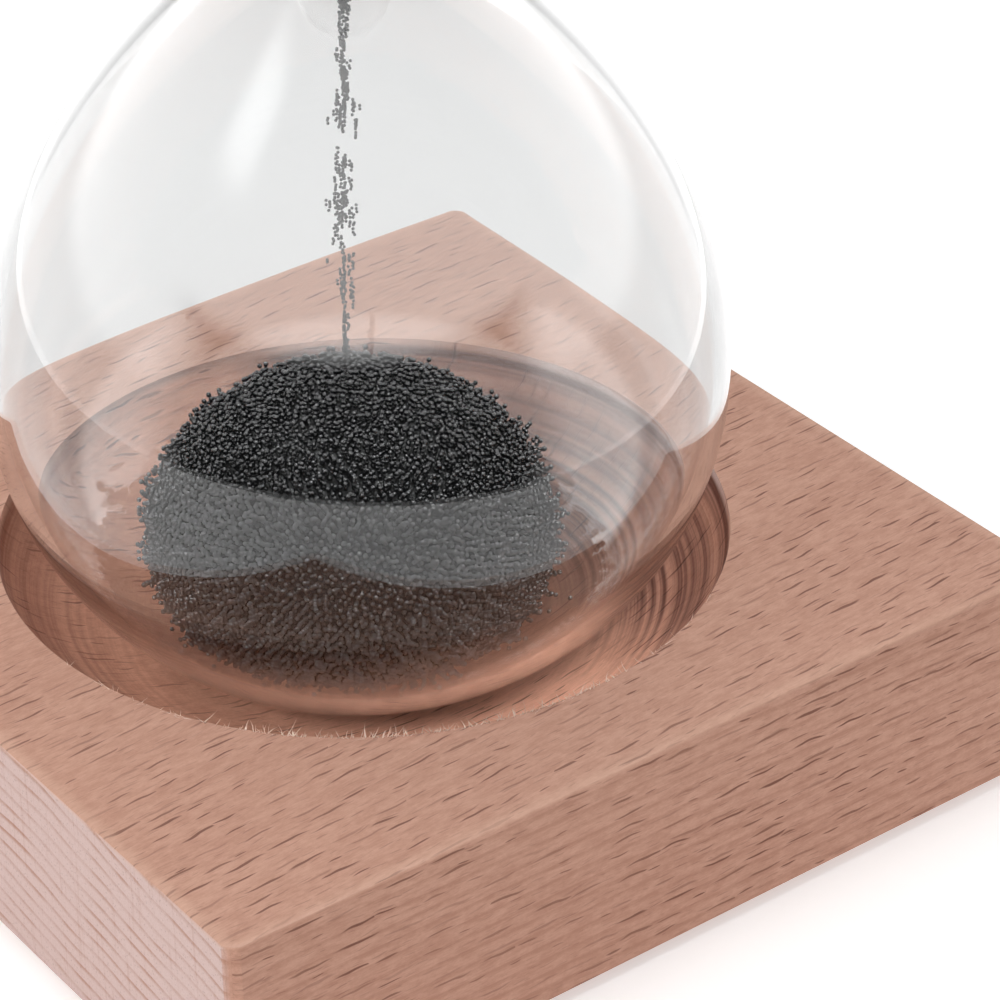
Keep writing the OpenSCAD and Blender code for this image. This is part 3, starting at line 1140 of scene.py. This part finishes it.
# name, place, width, height, power, and whether it lights dull surfaces or shows as gloss
SOFTBOXES = (
    ("key_softbox", (-0.36, -0.02, 0.42), 0.28, 0.30, 3.2, "diffuse"),
    ("top_softbox", (0.10, 0.30, 0.75), 0.5, 0.4, 2.2, "diffuse"),
    ("front_fill", (0.15, -0.70, 0.35), 0.5, 0.4, 2.3, "diffuse"),
    ("mirror_panel", (-0.475, 0.06, 0.625), 0.30, 0.36, 0.8, "gloss"),
    ("left_spark", (-0.17, -0.08, 0.78), 0.16, 0.16, 12.0, "gloss"),
    ("front_spark", (0.0, -0.19, 0.78), 0.16, 0.16, 12.0, "gloss"),
    ("right_spark", (0.16, 0.02, 0.78), 0.16, 0.16, 8.0, "gloss"),
)


def mirror_ray(net, path):
    """One on rays mirrored by a smooth surface, nought on those that pass through it."""
    sharp = net.math("MULTIPLY", path.outputs["Is Glossy Ray"], path.outputs["Is Singular Ray"])
    outside = net.math("SUBTRACT", 1.0, path.outputs["Is Transmission Ray"])
    return net.math("MULTIPLY", sharp, outside)


def studio_world():
    """White to look at, straight or through the glass. Smooth glass mirrors a bright tent with a
    dark opening, the beads mirror a dimmer one, and dull surfaces get an even grey light."""
    world = bpy.data.worlds.new("studio")
    bpy.context.scene.world = world
    world.use_nodes = True
    net = Net(world.node_tree)
    path = net.add("ShaderNodeLightPath")
    way = net.add("ShaderNodeTexCoord").outputs["Generated"]
    backdrop = net.ramp(net.dot(way, BACKDROP_WAY), 0.05, 0.55, 0.06, 1.3)
    # a white tent all round, with a dark opening low down on the camera's side
    opening = net.dot(way, OPENING_WAY)
    height = net.split(way)[2]
    tent = net.math("MAXIMUM", net.ramp(height, 0.31, 0.42), net.ramp(opening, 0.36, 0.66, 1.0, 0.0))
    mirrored = net.math("MULTIPLY", net.math("MULTIPLY", tent, mirror_ray(net, path)), TENT_LEVEL)
    backdrop = net.math("MAXIMUM", backdrop, mirrored)
    # white straight through the glass; the beads inside it mirror a dimmer tent
    through = net.math("MULTIPLY", tent, net.ramp(height, 0.0, 0.12, 0.0, ROOF_LEVEL))
    straight = net.ramp(path.outputs["Glossy Depth"], 0.2, 0.8, THROUGH_LEVEL, 0.0)
    through = net.math("MAXIMUM", through, straight)
    backdrop = net.blend(path.outputs["Is Transmission Ray"], backdrop, through)
    level = net.blend(path.outputs["Is Diffuse Ray"], backdrop, DIFFUSE_LEVEL)
    level = net.blend(path.outputs["Is Camera Ray"], level, WHITE_LEVEL)
    back = net.add("ShaderNodeBackground", {"Color": (1.0, 1.0, 1.0, 1.0), "Strength": level})
    out = net.add("ShaderNodeOutputWorld")
    net.tree.links.new(back.outputs[0], out.inputs[0])


def table_white():
    mat, net, shader, _ = material("table_white")
    place, _ = millimetres(net)
    tone = net.noise(place, 0.02, 3.0, 0.5)
    net.feed(shader.inputs["Base Color"],
             net.blend(tone, (0.80, 0.80, 0.80, 1), (0.84, 0.84, 0.84, 1)))
    shader.inputs["Roughness"].default_value = 0.7
    # an overexposed table: brighter still where the glass mirrors it
    path = net.add("ShaderNodeLightPath")
    shader.inputs["Emission Color"].default_value = (1.0, 0.985, 0.985, 1.0)
    seen = net.math("MULTIPLY", path.outputs["Is Camera Ray"], TABLE_SEEN_GLOW)
    bounce = net.math("MULTIPLY", path.outputs["Is Diffuse Ray"], TABLE_BOUNCE)
    mirrored = net.math("MULTIPLY", mirror_ray(net, path), TABLE_MIRROR_GLOW)
    net.feed(shader.inputs["Emission Strength"],
             net.math("ADD", net.math("ADD", seen, bounce), mirrored))
    return mat


class HOURGLASS_OT_stage(bpy.types.Operator):
    """Builds the camera, the softboxes, the world and the pale table top"""
    bl_idname = "hourglass.stage"
    bl_label = "Stage"

    def execute(self, context):
        s = context.scene.hourglass_stage
        az, el, roll = s.azimuth, s.elevation, s.roll
        back = Vector((math.sin(az) * math.cos(el), -math.cos(az) * math.cos(el), math.sin(el)))
        right = (-back).cross(Vector((0, 0, 1))).normalized()
        up = right.cross(-back)
        ahead = (-back + s.aim_right * right + s.aim_up * up).normalized()
        right = ahead.cross(Vector((0, 0, 1))).normalized()
        up = right.cross(ahead)
        side = math.cos(roll) * right + math.sin(roll) * up
        top = -math.sin(roll) * right + math.cos(roll) * up
        camera = bpy.data.cameras.new("camera")
        camera.sensor_width = 36
        camera.lens = s.lens
        camera.clip_start = 0.01
        obj = bpy.data.objects.new("camera", camera)
        context.collection.objects.link(obj)
        turn = Matrix((side, top, -ahead)).transposed().to_4x4()
        obj.matrix_world = Matrix.Translation(Vector((0, 0, BASE_TOP)) + s.distance * back) @ turn
        context.scene.camera = obj

        deselect()
        bpy.ops.mesh.primitive_circle_add(vertices=128, radius=s.floor_radius, fill_type="NGON",
                                          location=(*s.floor_middle, FELT_LOW.z - 0.02 * MM))
        floor = added("table_top")
        settle(floor)
        give(floor, table_white())

        studio_world()
        for row in SOFTBOXES:
            softbox(*row)
        context.scene.view_settings.view_transform = "Standard"
        return {"FINISHED"}


# ---------------------------------------------------------------- panel and start

STEPS = (HOURGLASS_OT_stage, HOURGLASS_OT_block, HOURGLASS_OT_rim, HOURGLASS_OT_felt, HOURGLASS_OT_magnet,
         HOURGLASS_OT_glass, HOURGLASS_OT_heap, HOURGLASS_OT_stream, HOURGLASS_OT_waiting,
         HOURGLASS_OT_neck, HOURGLASS_OT_stray)
SETTINGS = {"hourglass_block": BlockSettings, "hourglass_glass": GlassSettings,
            "hourglass_beads": BeadSettings, "hourglass_stage": StageSettings}


class HOURGLASS_PT_panel(bpy.types.Panel):
    """Lists the hourglass's pieces"""
    bl_idname = "HOURGLASS_PT_panel"
    bl_label = "Magnetic hourglass"
    bl_space_type = "VIEW_3D"
    bl_region_type = "UI"
    bl_category = "Hourglass"

    def draw(self, context):
        for name, kind in SETTINGS.items():
            box = self.layout.box()
            for prop in kind.__annotations__:
                box.prop(getattr(context.scene, name), prop)
        for step in STEPS:
            self.layout.operator(step.bl_idname)


def register():
    for cls in (*SETTINGS.values(), *STEPS, HOURGLASS_PT_panel):
        bpy.utils.register_class(cls)
    for name, kind in SETTINGS.items():
        setattr(bpy.types.Scene, name, bpy.props.PointerProperty(type=kind))


def unregister():
    for name in SETTINGS:
        delattr(bpy.types.Scene, name)
    for cls in reversed((*SETTINGS.values(), *STEPS, HOURGLASS_PT_panel)):
        bpy.utils.unregister_class(cls)


def main():
    register()
    for step in STEPS:
        area, name = step.bl_idname.split(".")
        getattr(getattr(bpy.ops, area), name)()


if __name__ == "__main__":
    main()
